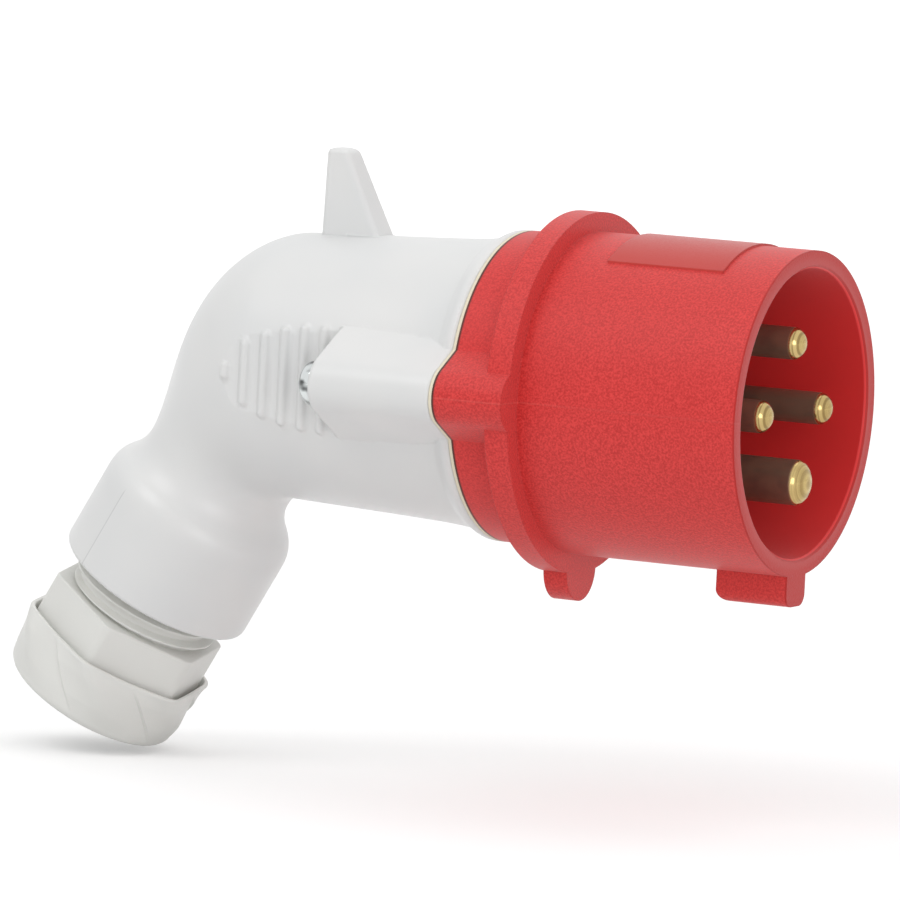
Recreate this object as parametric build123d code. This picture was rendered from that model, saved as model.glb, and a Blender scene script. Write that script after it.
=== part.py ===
"""Angled industrial plug, three phases and earth, for splash-proof power sockets.

Frame, in millimetres: the origin is the centre of the collar's front face, where the plug seats on
a socket. +X runs along the shroud out of its open mouth, and +Z is up, with the earth pin and the key
at the bottom. The handle runs back along -X and bends down to the cable gland.
"""

import os
from math import cos, pi, radians, sin

from build123d import *

# Front shroud
shroud_outer_r = 25.0
shroud_wall = 2.75
shroud_length = 36.65
collar_r = 28.0
collar_thickness = 4.0
skirt_outer_r = 24.2
skirt_wall = 2.5
skirt_length = 7.8
ledge_thickness = 2.0
ledge_inner_r = 19.6
rim_chamfer = 0.5

# Key under the mouth, latch lug under the collar and the bare pad on top
key_length = 11.9
key_width = 6.6
key_height = 4.6
key_rounding = 1.9
lug_r = 5.0
lug_drop = 4.3
pad_length = 19.6
pad_start_x = 8.2
pad_half_angle = 31.5
pad_height = 0.35

# Screw ears, shared by the shroud, the gasket and the handle
screw_beyond_skirt = 1.6
ear_nose_r = 4.7
ear_root_depth = 4.4
ear_root_half_height = 8.8
ear_root_thickness = 0.2
ear_depth_in_handle = 21.1

# Pin carrier, with crossed barrier walls between the terminals
carrier_thickness = 4.5
carrier_clearance = 0.2
carrier_rib_width = 3.0
carrier_rib_height = 1.2
barrier_thickness = 2.0
barrier_clearance = 0.5
barrier_length = 13.0
pin_circle_r = 10.6
pin_clearance = 0.05

# Contact pins and their terminals
phase_pin_r = 2.5
phase_terminal_r = 4.0
phase_tip_x = 36.1
earth_pin_r = 3.5
earth_terminal_r = 4.5
earth_tip_x = 37.9
pin_root_step = 0.4
tip_length = 2.1
tip_shoulder_turn = 45.0
tip_flat_share = 0.35
terminal_length = 13.0
wire_hole_r = 1.7
wire_hole_depth = 10.0

# Slotted clamp screws
terminal_screw_r = 1.75
terminal_screw_inset = 8.0
terminal_screw_room = 2.0
terminal_slot_width = 0.8
terminal_slot_depth = 1.0
thread_gap = 0.03

# Gasket
gasket_thickness = 0.5

# Housing screws
screw_r = 1.95
screw_head_r = 3.6
screw_head_height = 2.5
screw_head_chamfer = 1.1
screw_clearance = 0.1
screw_end_x = -3.0
recess_width = 0.9
recess_length = 4.2
recess_depth = 1.4

# Handle barrel and elbow
handle_wall = 2.6
lip_length = 0.9
flare_middle_length = 3.6
flare_middle_r = 22.95
flare_length = 8.0
barrel_front_r = 22.3
barrel_rear_r = 20.9
elbow_start_x = -50.2
elbow_corner_r = 1.8
elbow_steps = 4
elbow_straightness = 0.4
elbow_fullness = 0.92
spigot_clearance = 0.2

# Cable outlet: its axis leaves the barrel axis at outlet_x, sloping down by outlet_angle
outlet_angle = 60.0
outlet_x = -53.7
throat_r = 12.6
throat_from = -3.0
throat_to = 8.0
neck_r = 11.8
neck_at = 21.6
shoulder_r = 14.6
shoulder_at = 25.1
bell_r = 15.9
bell_from = 28.6
bell_end = 42.4
bell_rim_chamfer = 0.6

# Fin on top of the barrel
fin_rear_x = -47.0
fin_top_front_x = -43.3
fin_foot_front_x = -36.8
fin_foot_rise = 0.6
fin_height = 13.1
fin_foot_width = 5.7
fin_top_width = 4.5
fin_chamfer = 0.8

# Grip ribs on a flat of both flanks
grip_flat_depth = 0.8
grip_flat_length = 24.8
grip_flat_margin = 1.0
rib_height = 0.8
rib_width = 1.4
rib_pitch = 3.45
rib_count = 6
rib_first_x = -36.1
rib_longest = 16.8
rib_field_length = 17.9

# Cable gland
thread_r = 12.5
thread_clearance = 0.1
seat_at = 26.0
grommet_length = 6.0
grommet_bore_r = 5.75
ring_thickness = 1.6
ring_bore_r = 7.4
ring_gap = 0.05
loose_fit = 0.3
gland_thread_from = 36.8
gland_bore_r = 9.0
hex_from = 47.6
hex_flats = 26.0
hex_corner_turn = 19.0
cup_from = 54.1
cup_mouth_r = 15.8
cup_end_r = 13.9
cup_wall = 1.5
cup_depth = 3.0
gland_end = 64.7
petal_count = 6
petal_mouth_step = 0.2
petal_end_step = 0.9
petal_swell = 0.6
petal_flats = 3
petal_start = -13.0
petal_twist = 33.0

# Overshoot of cutting solids past the faces that they cut
cut_margin = 1.0

# Places worked out from the sizes above
shroud_inner_r = shroud_outer_r - shroud_wall
skirt_inner_r = skirt_outer_r - skirt_wall
skirt_end_x = -collar_thickness - skirt_length
handle_front_x = skirt_end_x - gasket_thickness
ear_end_x = handle_front_x - ear_depth_in_handle
carrier_rear_x = -carrier_thickness
spigot_outer_r = skirt_inner_r - spigot_clearance
screw_offset_y = skirt_outer_r + screw_beyond_skirt
ear_root_y = skirt_outer_r - ear_root_depth
barrel_bore_r = barrel_rear_r - handle_wall
barrier_reach = barrel_bore_r - barrier_clearance
terminal_screw_reach = barrel_bore_r - terminal_screw_room - pin_circle_r - earth_terminal_r
grip_flat_y = barrel_rear_r - grip_flat_depth
fin_foot_z = barrel_rear_r + fin_foot_rise
fin_top_z = fin_foot_z + fin_height
outlet = Vector(-cos(radians(outlet_angle)), 0, -sin(radians(outlet_angle)))
across = Vector(sin(radians(outlet_angle)), 0, -cos(radians(outlet_angle)))
cable_plane = Plane(origin=(outlet_x, 0, 0), x_dir=across, z_dir=outlet)
elbow_corner = Vector(elbow_start_x, 0, -barrel_rear_r - elbow_corner_r)
bell_bore_r = thread_r + thread_clearance

PIN_ANGLES = {"phase_pin_1": 180, "phase_pin_2": 90, "phase_pin_3": 0, "earth_pin": 270}


def cross_plane(x):
    """A plane across the shroud axis, with local x along +Y and local y along +Z."""
    return Plane(origin=(x, 0, 0), x_dir=(0, 1, 0), z_dir=(1, 0, 0))


def prism(sketch, x_from, x_to):
    """A sketch in the Y-Z plane, extruded along the shroud axis."""
    return extrude(cross_plane(x_from) * sketch, x_to - x_from)


def disc(r, x_from, x_to):
    return prism(Circle(r), x_from, x_to)


def turned(points):
    """A solid of revolution on the shroud axis, from (x, radius) points."""
    outline = Polyline([(x, 0, r) for x, r in points], close=True)
    return revolve(make_face(outline), Axis.X)


def turned_on_cable(points):
    """A solid of revolution on the cable axis, from (distance along the outlet, radius) points."""
    outline = Polyline([(r, 0, along) for along, r in points], close=True)
    return cable_plane * revolve(make_face(outline), Axis.Z)


def ear_sketch(side):
    """House-shaped outline of one screw ear, at +Y or -Y."""
    nose = Pos(side * screw_offset_y, 0) * Circle(ear_nose_r)
    root = Pos(side * ear_root_y, 0) * Rectangle(ear_root_thickness, 2 * ear_root_half_height)
    return make_hull(nose.edges() + root.edges())


def flange_sketch():
    """Outline of the joint between shroud and handle: round, with both screw ears."""
    sketch = Circle(skirt_outer_r)
    for side in (1, -1):
        sketch += ear_sketch(side)
    return sketch


def screw_holes(x_from, x_to):
    hole = Circle(screw_r + screw_clearance)
    holes = Sketch() + [Pos(side * screw_offset_y, 0) * hole for side in (1, -1)]
    return prism(holes, x_from, x_to)


def front_shroud():
    """Red front: sleeve, collar, rear skirt with ears, key, latch lug and pad in one moulding."""
    body = disc(shroud_outer_r, 0, shroud_length)
    body += disc(collar_r, -collar_thickness, 0)
    body += prism(flange_sketch(), skirt_end_x, 0)
    body += prism(Pos(0, -collar_r - lug_drop + lug_r) * Circle(lug_r), -collar_thickness, 0)
    body += key()
    body += label_pad()
    body -= disc(shroud_inner_r, ledge_thickness, shroud_length)
    body -= disc(ledge_inner_r, 0, ledge_thickness)
    body -= disc(skirt_inner_r, skirt_end_x, 0)
    body += locating_rib()
    body -= screw_holes(skirt_end_x, screw_end_x)
    rim = body.faces().sort_by(Axis.X)[-1]
    return chamfer(rim.inner_wires()[0].edges(), rim_chamfer)


def key():
    """Key under the mouth, with rounded lower edges and a rounded rear end."""
    bottom = -shroud_outer_r - key_height
    section = Pos(0, (bottom - shroud_inner_r) / 2) * Rectangle(key_width, -shroud_inner_r - bottom)
    bar = prism(section, shroud_length - key_length, shroud_length)
    lower = bar.faces().sort_by(Axis.Z)[0]
    rounded = lower.edges().sort_by(Axis.X)[:-1]
    return fillet(rounded, key_rounding)


def label_pad():
    """Bare raised pad on top of the sleeve."""
    wide = 2 * shroud_outer_r * sin(radians(pad_half_angle))
    plate = Pos(0, shroud_outer_r) * Rectangle(wide, shroud_outer_r)
    return prism(plate & Circle(shroud_outer_r + pad_height), pad_start_x, pad_start_x + pad_length)


def locating_rib():
    """Rib at the bottom of the skirt's bore that sets the pin carrier's turn."""
    rib = Pos(0, -skirt_inner_r + carrier_rib_height / 2) * Rectangle(carrier_rib_width, carrier_rib_height)
    return prism(rib & Circle(skirt_inner_r), carrier_rear_x, 0)


def pin_place(name):
    """Y and Z of one pin's axis."""
    angle = radians(PIN_ANGLES[name])
    return pin_circle_r * cos(angle), pin_circle_r * sin(angle)


def pin_sizes(name):
    """Shank radius, terminal radius and tip position of one pin."""
    if name == "earth_pin":
        return earth_pin_r, earth_terminal_r, earth_tip_x
    return phase_pin_r, phase_terminal_r, phase_tip_x


def screw_plane(name):
    """Plane at the pin's axis, with its normal pointing straight out from the plug's axis."""
    y, z = pin_place(name)
    return Plane(origin=(carrier_rear_x - terminal_screw_inset, y, z), x_dir=(1, 0, 0), z_dir=(0, y, z))


def contact_pin(name):
    """Turned brass pin with a pillar terminal: wire hole from the back, clamp screw from the side."""
    shank_r, terminal_r, tip_x = pin_sizes(name)
    terminal_end_x = carrier_rear_x - terminal_length
    wire_hole_end_x = terminal_end_x + wire_hole_depth
    shoulder = radians(tip_shoulder_turn)
    profile = [
        (tip_x, 0),
        (wire_hole_end_x, 0),
        (wire_hole_end_x, wire_hole_r),
        (terminal_end_x, wire_hole_r),
        (terminal_end_x, terminal_r),
        (carrier_rear_x, terminal_r),
        (carrier_rear_x, shank_r + pin_root_step),
        (0, shank_r + pin_root_step),
        (0, shank_r),
        (tip_x - tip_length, shank_r),
        (tip_x - tip_length * (1 - sin(shoulder)), shank_r * cos(shoulder)),
        (tip_x, shank_r * tip_flat_share),
    ]
    pin = Pos(0, *pin_place(name)) * turned(profile)
    tapped = extrude(screw_plane(name) * Circle(terminal_screw_r + thread_gap), terminal_r + cut_margin)
    return pin - tapped


def terminal_screw(name):
    """Slotted headless clamp screw of one terminal, standing a little proud of it."""
    outer_end = pin_sizes(name)[1] + terminal_screw_reach
    screw = extrude(Pos(0, 0, wire_hole_r) * Circle(terminal_screw_r), outer_end - wire_hole_r)
    slot = Pos(0, 0, outer_end - terminal_slot_depth) * Rectangle(3 * terminal_screw_r, terminal_slot_width)
    return screw_plane(name) * (screw - extrude(slot, terminal_slot_depth))


def pin_carrier():
    """Insulating insert: round flange behind the shroud's ledge, with crossed barrier walls."""
    flange = Circle(skirt_inner_r - carrier_clearance)
    notch_width = carrier_rib_width + 2 * carrier_clearance
    notch_height = carrier_rib_height + carrier_clearance
    flange -= Pos(0, -skirt_inner_r) * Rectangle(notch_width, 2 * notch_height)
    for name in PIN_ANGLES:
        hole_r = pin_sizes(name)[0] + pin_root_step + pin_clearance
        flange -= Pos(*pin_place(name)) * Circle(hole_r)
    wall = Rectangle(2 * barrier_reach, barrier_thickness)
    walls = Rot(0, 0, 45) * wall + Rot(0, 0, -45) * wall
    return prism(flange, carrier_rear_x, 0) + prism(walls, carrier_rear_x - barrier_length, carrier_rear_x)


def flange_gasket():
    """Thin seal between the shroud's skirt and the handle, pierced for both screws."""
    gasket = prism(flange_sketch() - Circle(skirt_inner_r), handle_front_x, skirt_end_x)
    return gasket - screw_holes(handle_front_x, skirt_end_x)


def housing_screw(side):
    """Pan-head cross-recess screw that runs through the handle's ear into the shroud's."""
    head_x = ear_end_x - screw_head_height
    screw = turned(
        [
            (head_x, 0),
            (head_x, screw_head_r - screw_head_chamfer),
            (head_x + screw_head_chamfer, screw_head_r),
            (ear_end_x, screw_head_r),
            (ear_end_x, screw_r),
            (screw_end_x, screw_r),
            (screw_end_x, 0),
        ]
    )
    cross = Rectangle(recess_length, recess_width) + Rectangle(recess_width, recess_length)
    screw -= prism(cross, head_x, head_x + recess_depth)
    return Pos(0, side * screw_offset_y, 0) * screw


def neck_joint():
    """Distance along the outlet and radius where the elbow hands over to the neck."""
    corner = elbow_corner - cable_plane.origin
    return corner.dot(outlet), corner.dot(across) - elbow_corner_r


def elbow_section(turn):
    """Round section of the elbow, turned about the inner corner."""
    share = turn / outlet_angle
    swing = (1 + cos(pi * share**elbow_fullness)) / 2
    blend = elbow_straightness * (1 - share) + (1 - elbow_straightness) * swing
    neck_start_r = neck_joint()[1]
    r = neck_start_r + (barrel_rear_r - neck_start_r) * blend
    out = Vector(-sin(radians(turn)), 0, cos(radians(turn)))
    forward = (-cos(radians(turn)), 0, -sin(radians(turn)))
    plane = Plane(origin=elbow_corner + out * (elbow_corner_r + r), x_dir=(0, 1, 0), z_dir=forward)
    quarters = [CenterArc((0, 0), r, start, 90) for start in (45, 135, 225, 315)]
    return plane * make_face(quarters)


def elbow():
    """Elbow from the barrel's end to the start of the neck, lofted through round sections."""
    turns = [step * outlet_angle / elbow_steps for step in range(elbow_steps + 1)]
    return loft([elbow_section(turn) for turn in turns])


def handle_outside():
    """Flared lip, barrel, elbow, neck and bell as one body."""
    body = turned(
        [
            (handle_front_x, 0),
            (handle_front_x, skirt_outer_r),
            (handle_front_x - lip_length, skirt_outer_r),
            (handle_front_x - flare_middle_length, flare_middle_r),
            (handle_front_x - flare_length, barrel_front_r),
            (elbow_start_x, barrel_rear_r),
            (elbow_start_x, 0),
        ]
    )
    body += elbow()
    joint_at, joint_r = neck_joint()
    body += turned_on_cable(
        [
            (joint_at, 0),
            (joint_at, joint_r),
            (neck_at, neck_r),
            (shoulder_at, shoulder_r),
            (bell_from, bell_r),
            (bell_end - bell_rim_chamfer, bell_r),
            (bell_end, bell_r - bell_rim_chamfer),
            (bell_end, 0),
        ]
    )
    return body


def handle_inside():
    """Wiring space in the barrel, throat to the neck, and the bell's bore for the gland."""
    barrel = disc(barrel_bore_r, elbow_start_x, carrier_rear_x)
    return barrel + turned_on_cable(
        [
            (throat_from, 0),
            (throat_from, throat_r),
            (throat_to, throat_r),
            (throat_to, neck_r - handle_wall),
            (seat_at, neck_r - handle_wall),
            (seat_at, bell_bore_r),
            (bell_end, bell_bore_r),
            (bell_end, 0),
        ]
    )


def fin():
    """Thumb fin: a raked side profile with draft on both faces."""
    root_z = fin_foot_z - handle_wall / 2
    side = Polygon(
        (fin_rear_x, root_z),
        (fin_foot_front_x, root_z),
        (fin_foot_front_x, fin_foot_z),
        (fin_top_front_x, fin_top_z),
        (fin_rear_x, fin_top_z),
        align=None,
    )
    front = Polygon(
        (-fin_foot_width / 2, root_z),
        (fin_foot_width / 2, root_z),
        (fin_top_width / 2, fin_top_z),
        (-fin_top_width / 2, fin_top_z),
        align=None,
    )
    raked = extrude(Plane.XZ * side, fin_foot_width, both=True)
    drafted = prism(front, fin_rear_x, fin_foot_front_x)
    blade = raked & drafted
    return chamfer(blade.edges().group_by(Axis.Z)[-1], fin_chamfer)


def grip_flat(side):
    """Slab that cuts the flat of one flank, behind the ear."""
    middle_x = ear_end_x - grip_flat_length / 2
    slab = Box(grip_flat_length, 2 * handle_wall, rib_longest + 2 * grip_flat_margin)
    return Pos(middle_x, side * (grip_flat_y + handle_wall), 0) * slab


def grip_ribs(side):
    """Upright ribs that shorten towards the elbow, in a pointed oval."""
    ribs = []
    for i in range(rib_count):
        share = i * rib_pitch / rib_field_length
        length = max(rib_longest * (1 - share**2) ** 0.5, 2 * rib_width)
        rib = Box(rib_width, 2 * rib_height, length)
        ribs.append(Pos(rib_first_x - i * rib_pitch, side * grip_flat_y, 0) * rib)
    return ribs


def handle_shell():
    """Light grey moulded handle: spigot, ears, fin, grip ribs, elbow and threaded bell."""
    body = handle_outside()
    ears = Sketch() + [ear_sketch(side) for side in (1, -1)]
    body += prism(ears, ear_end_x, handle_front_x)
    body += fin()
    for side in (1, -1):
        body -= grip_flat(side)
        body += grip_ribs(side)
    body += disc(spigot_outer_r, handle_front_x, carrier_rear_x)
    body -= handle_inside()
    return body - screw_holes(ear_end_x, handle_front_x)


def cable_grommet():
    """Rubber sealing ring on the bell's inner seat."""
    end = seat_at + grommet_length
    outer_r = bell_bore_r - loose_fit
    return turned_on_cable(
        [(seat_at, grommet_bore_r), (seat_at, outer_r), (end, outer_r), (end, grommet_bore_r)]
    )


def thrust_ring():
    """Flat ring that the gland pushes down on the grommet."""
    end = gland_thread_from - ring_gap
    start = end - ring_thickness
    outer_r = thread_r - loose_fit
    return turned_on_cable([(start, ring_bore_r), (start, outer_r), (end, outer_r), (end, ring_bore_r)])


def petal_ring(r, turn, step, along):
    """Corners of six overlapping petals: each swells outwards over its flats and then steps back."""
    span = 2 * pi / petal_count
    corners = []
    for i in range(petal_count):
        for flat in range(petal_flats + 1):
            share = flat / petal_flats
            angle = radians(turn) + (i + share) * span
            out = r + step * share**petal_swell
            corners.append((out * cos(angle), out * sin(angle), along))
    return corners


def petal_cup():
    """Solid cup of six twisted petals, with flat triangles from its mouth to its end."""
    mouth = petal_ring(cup_mouth_r, petal_start, petal_mouth_step, cup_from)
    end = petal_ring(cup_end_r, petal_start - petal_twist, petal_end_step, gland_end)
    triangles = []
    for i in range(len(mouth)):
        after = (i + 1) % len(mouth)
        triangles.append((mouth[i], mouth[after], end[after]))
        triangles.append((mouth[i], end[after], end[i]))
    outlines = triangles + [mouth, end]
    faces = [Face(Wire.make_polygon(outline, close=True)) for outline in outlines]
    return Solid(Shell(faces))


def gland_screw():
    """Hand-turned gland: threaded tube, hexagon and a flared cup of six twisted petals."""
    hexagon = RegularPolygon(hex_flats / 2, 6, major_radius=False, rotation=hex_corner_turn)
    body = extrude(Pos(0, 0, gland_thread_from) * Circle(thread_r), hex_from - gland_thread_from)
    body += petal_cup()
    body -= extrude(Pos(0, 0, cup_from) * Circle(cup_mouth_r - cup_wall), cup_depth)
    body += extrude(Pos(0, 0, hex_from) * hexagon, cup_from + cup_depth - hex_from)
    body -= extrude(Pos(0, 0, gland_thread_from) * Circle(gland_bore_r), gland_end - gland_thread_from)
    return cable_plane * body


def make_parts():
    parts = {
        "front_shroud": front_shroud(),
        "pin_carrier": pin_carrier(),
        "flange_gasket": flange_gasket(),
        "handle_shell": handle_shell(),
        "housing_screw_left": housing_screw(1),
        "housing_screw_right": housing_screw(-1),
        "cable_grommet": cable_grommet(),
        "thrust_ring": thrust_ring(),
        "gland_screw": gland_screw(),
    }
    for name in PIN_ANGLES:
        parts[name] = contact_pin(name)
        parts[name.replace("pin", "terminal_screw")] = terminal_screw(name)
    return parts


os.makedirs("parts", exist_ok=True)
for node, solid in make_parts().items():
    export_step(solid, f"parts/{node}.step")
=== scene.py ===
"""Angled industrial plug: moulded shells, turned brass pins and a screwed gland, dressed on the frame.

Sizes are in millimetres, in the plug's own frame: +X runs out of the shroud's mouth and +Z is up.
The camera, the floor, the lamps and the textures are in metres.
"""

from math import asin, atan2, cos, hypot, pi, radians, sin

import bpy
import numpy as np
import openvdb
from mathutils import Matrix, Vector


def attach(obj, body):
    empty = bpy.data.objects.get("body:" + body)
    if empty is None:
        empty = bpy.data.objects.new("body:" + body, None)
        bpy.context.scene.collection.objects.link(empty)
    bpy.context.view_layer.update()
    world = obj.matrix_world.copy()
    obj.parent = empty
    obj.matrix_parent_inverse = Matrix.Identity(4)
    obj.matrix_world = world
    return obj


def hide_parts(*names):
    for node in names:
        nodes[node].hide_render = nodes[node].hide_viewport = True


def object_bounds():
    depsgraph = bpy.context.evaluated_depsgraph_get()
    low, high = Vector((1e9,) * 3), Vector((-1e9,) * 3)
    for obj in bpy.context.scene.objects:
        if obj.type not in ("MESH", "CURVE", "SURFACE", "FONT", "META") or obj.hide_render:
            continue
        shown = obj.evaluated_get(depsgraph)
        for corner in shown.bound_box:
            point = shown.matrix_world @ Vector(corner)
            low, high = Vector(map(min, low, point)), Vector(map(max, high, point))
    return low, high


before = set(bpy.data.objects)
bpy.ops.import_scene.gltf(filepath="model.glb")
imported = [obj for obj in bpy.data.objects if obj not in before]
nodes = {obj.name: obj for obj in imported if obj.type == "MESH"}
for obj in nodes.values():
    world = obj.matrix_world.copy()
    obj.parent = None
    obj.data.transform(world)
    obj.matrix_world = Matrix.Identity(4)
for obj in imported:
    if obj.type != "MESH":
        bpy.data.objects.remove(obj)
cad_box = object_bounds()

MM = 0.001

# Handle: lip, barrel and elbow
handle_front_x = -12.3
spigot_front_x = -4.5
spigot_root = 5.0
spigot_r = 21.5
lip_r = 24.2
barrel_front_r = 22.3
barrel_rear_r = 20.9
barrel_bore_r = 18.3
elbow_start_x = -50.2
elbow_corner_r = 3.6
elbow_straightness = 0.15
elbow_fullness = 0.87
edge_rounding = 0.5

# Handle: outlet, neck and bell
outlet_x = -53.7
outlet_turn = radians(60)
neck_offset = 0.6
neck_offset_end = 29.6
throat_r = 12.6
throat_from = -3.0
throat_to = 8.0
neck_bore_r = 9.2
seat_at = 26.0
bell_r = 15.9
bell_bore_r = 12.6
bell_end = 42.4
rim_rounding = 0.6

# Handle: ears, fin and grip
screw_y = 25.8
ear_nose_r = 4.7
ear_root_y = 19.8
ear_root_half_height = 8.8
ear_end_x = -33.4
screw_hole_r = 2.05
screw_hole_margin = 1.0
fin_rear_x = -47.0
fin_top_front_x = -43.3
fin_foot_front_x = -36.8
fin_foot_z = 21.5
fin_top_z = 34.6
fin_foot_width = 5.7
fin_top_width = 4.5
fin_rounding = 0.9
fin_front_rounding = 0.3
fin_root_z = 19.0
grip_flat_y = 20.1
grip_half_height = 9.4
grip_rear_x = -58.2
rib_r = 0.75
rib_axis_y = 20.15
rib_root_y = 17.0
rib_foot_r = 0.45
rib_pitch = 3.45
rib_count = 6
rib_first_x = -36.1
rib_longest = 16.8
rib_field_length = 17.5

# Handle: how its surface is found
handle_low = (-91.0, -31.5, -64.0)
handle_high = (-3.5, 31.5, 36.0)
handle_cell = 0.58
surface_passes = 5
slope_step = 0.02
least_squared_slope = 0.25
shortest_normal = 1e-9

# Gland screw: tube, thread and hexagon
gland_top = 36.8
gland_bore_r = 9.0
tube_end_chamfer = 0.3
thread_crest_r = 12.5
thread_depth = 1.4
thread_pitch = 2.2
thread_crest_half = 0.18
thread_flank_end = 0.55
thread_runout = 0.3
thread_fade = 0.4
thread_shift = 1.2
thread_from = 0.25
thread_stop = 0.2
thread_row = 0.12
hex_from = 47.6
hex_flats = 26.0
hex_corner_turn = radians(19)
hex_corner_cut_r = 14.75
hex_sharpness = 16
flat_from = 1.2
flat_stop = 0.5

# Gland screw: cup and petals
cup_from = 54.1
cup_depth = 3.0
cup_mouth_r = 16.1
cup_mouth_flat_r = 14.5
cup_mouth_sharpness = 4
cup_rim_width = 0.8
cup_rim_inset = 0.2
cup_rim_wave = 0.12
cup_rim_wave_peak = 0.55
cup_rim_edge = 0.35
cup_end_r = 14.3
cup_end_rounding = 1.5
gland_end = 64.7
trough_wall_gap = 0.02
trough_corner = 0.3
trough_least_width = 0.5
trough_wall_from = 0.4
petal_count = 6
petal_step = 0.5
petal_swell = 0.6
petal_rise = 4
petal_fall = 3
petal_end_share = 0.1
petal_start = radians(-13)
petal_twist = radians(33)
crease_share = 0.03

# Gland screw: rounded edges as (along, outwards) steps
hex_foot = [(-0.1, 0.0), (0.0, 0.15)]
hex_edge = [(0.0, -0.4), (0.05, -0.15), (0.2, 0.0), (0.6, 0.0)]
trough_foot = [(-0.15, 0.15), (0.0, 0.4)]
rim_inner_edge = [(0.5, 0.0), (0.1, 0.08), (0.0, 0.22)]
rim_outer_edge = [(0.0, -0.25), (0.1, -0.08), (cup_rim_edge, 0.0)]
bore_mouth = [(0.0, 0.6), (-0.5, 0.1)]
bore_from = 0.9

# Gland screw: how finely it is drawn
gland_steps = 360
flat_rows = 7
petal_rows = 30
cup_end_rows = 6
bore_rows = 14
gland_sharp_turn = radians(24)

# Pins
pin_circle_r = 10.6
tip_length = 2.1
tip_ripples_per_turn = 24
phase_pin = {"shank_r": 2.5, "terminal_r": 4.0, "tip_x": 36.1, "tip_ripple": 0.0}
earth_pin = {"shank_r": 3.5, "terminal_r": 4.5, "tip_x": 37.9, "tip_ripple": 0.012}
pins = {
    "phase_pin_1": (180, phase_pin),
    "phase_pin_2": (90, phase_pin),
    "phase_pin_3": (0, phase_pin),
    "earth_pin": (270, earth_pin),
}
shank_gap = 0.3
pin_root_step = 0.4
pin_root_foot = 0.05
pin_root_edge = 0.1
carrier_rear_x = -4.5
terminal_end_x = -17.5
terminal_front_edge = 0.3
terminal_rear_edge = 0.4
wire_hole_r = 1.7
wire_hole_edge = 0.3
wire_hole_end_x = -7.5
drill_point = 0.6
drill_point_r = 0.2
clamp_hole_r = 1.78
clamp_hole_margin = 1.0
clamp_x = -12.5
tip_rows = 48
shank_rows = 24
pin_steps = 96
clamp_hole_steps = 48
pin_sharp_turn = radians(35)

# Housing screws
screw_r = 1.95
screw_end_x = -3.0
screw_point = 0.6
screw_head_r = 3.6
screw_head_x = -36.4
crown_flat_r = 0.25
crown_depth_power = 1.1
crown_width_power = 0.9
head_skirt = 0.7
head_edge_from = 0.2
head_edge = 0.15
recess_half_length = 2.0
recess_half_width = 0.42
recess_depth = 1.5
recess_above = 0.5
recess_mouth_share = 1.1
recess_foot_share = 0.55
recess_nudge = 0.001
crown_rows = 10
screw_steps = 64
screw_sharp_turn = radians(30)

# Where the finishes change
bore_skin_r = 22.8
grain_skin_r = 24.7
pad_skin_r = 25.12
pad_from_x = 8.1
pad_to_x = 27.9
pad_from_z = 5.0
rim_face_x = 36.4
seam_x = -11.6
seam_end_x = -11.3
parting_half = 0.06
parting_end = 0.18
# Where the painted highlight on the parting line has faded to its least
parting_highlight_fade_x = 12.0
bell_line_turn = radians(114)
bell_line_half = 0.04
bell_line_end = 0.16
bell_line_from = 27.5
bell_line_full = 28.5
earth_pin_below_z = -6.0
polish_end = 1.5
tarnish_from = 2.0

# Colours, as sRGB parts from 0 to 255
red_smooth = (232, 54, 54)
red_grain_dark = (195, 43, 42)
red_grain_light = (226, 66, 63)
red_cloud = (186, 44, 42)
# Painted shade: the rim face of the red moulding, drawn darker.
red_rim_shade = (190, 36, 32)
red_pad = (194, 52, 44)
# Painted highlight: a pale line along the parting line.
red_parting_highlight = (232, 104, 96)
# Painted shade: the gap between the red shell and the gasket.
red_seam_shade = (78, 40, 32)
grey_light = (228, 228, 227)
grey_dark = (223, 224, 224)
# Painted shade: the groove of the bell's moulding line, drawn as a darker grey.
grey_line_shade = (188, 189, 189)
gland_light = (230, 230, 226)
gland_dark = (224, 224, 220)
brass_light = (206, 182, 124)
brass_dark = (176, 148, 92)
# Painted reflection: dark rings on the polished pin tips.
brass_reflection_ring = (108, 80, 42)
tarnish_light = (138, 113, 94)
tarnish_dark = (114, 95, 81)
plating = (216, 220, 220)
steel = (168, 170, 172)
carrier_tones = ((74, 74, 76), (58, 58, 60))
gasket_tones = ((240, 232, 210), (226, 216, 190))
grommet_tones = ((52, 52, 52), (38, 38, 38))
thrust_ring_tones = ((206, 206, 202), (192, 192, 188))

# Spans of a noise texture: where most of its values lie, and where each mark starts and is full
noise_low = 0.3
noise_high = 0.7
tarnish_low = 0.35
tarnish_high = 0.7
# Painted reflection: the ring span marks dark rings on the brass tips.
reflection_ring_low = 0.42
reflection_ring_high = 0.66
# The patch span marks darker patches: painted reflections on plated steel, a faint tone change on plain
# steel.
patch_and_reflection_low = 0.42
patch_and_reflection_high = 0.58

# Camera, floor, sky and lamps
camera_lens = 358.63
camera_sensor = 36.0
camera_reach = 20.0
camera_place = (0.610545, -1.234709, 0.124056)
camera_right = (0.88608, 0.46080, 0.05086)
camera_up = (-0.08964, 0.06266, 0.99405)
white = (1, 1, 1, 1)
floor_gap = 0.0005
floor_half = 6.0
floor_tone = (0.82, 0.82, 0.82, 1)
floor_roughness = 0.9
floor_glow = {"From Min": 0.15, "From Max": 1.5, "To Min": 0.26, "To Max": 0.5}
sky_low_height = 0.10
sky_low_tone = (0.22, 0.22, 0.22, 1)
sky_high_height = 0.42
sky_strength = 0.86
lamps = {
    "key": {"place": (-0.35, -0.75, 0.95), "target": (-0.02, 0, 0), "width": 0.7, "energy": 2.6},
    "fill": {"place": (0.8, -0.75, 0.1), "target": (0, 0, 0), "width": 0.7, "energy": 2.6},
    "top": {"place": (0.0, 0.35, 1.1), "target": (-0.02, 0, 0), "width": 0.8, "energy": 1.0},
}

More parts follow.
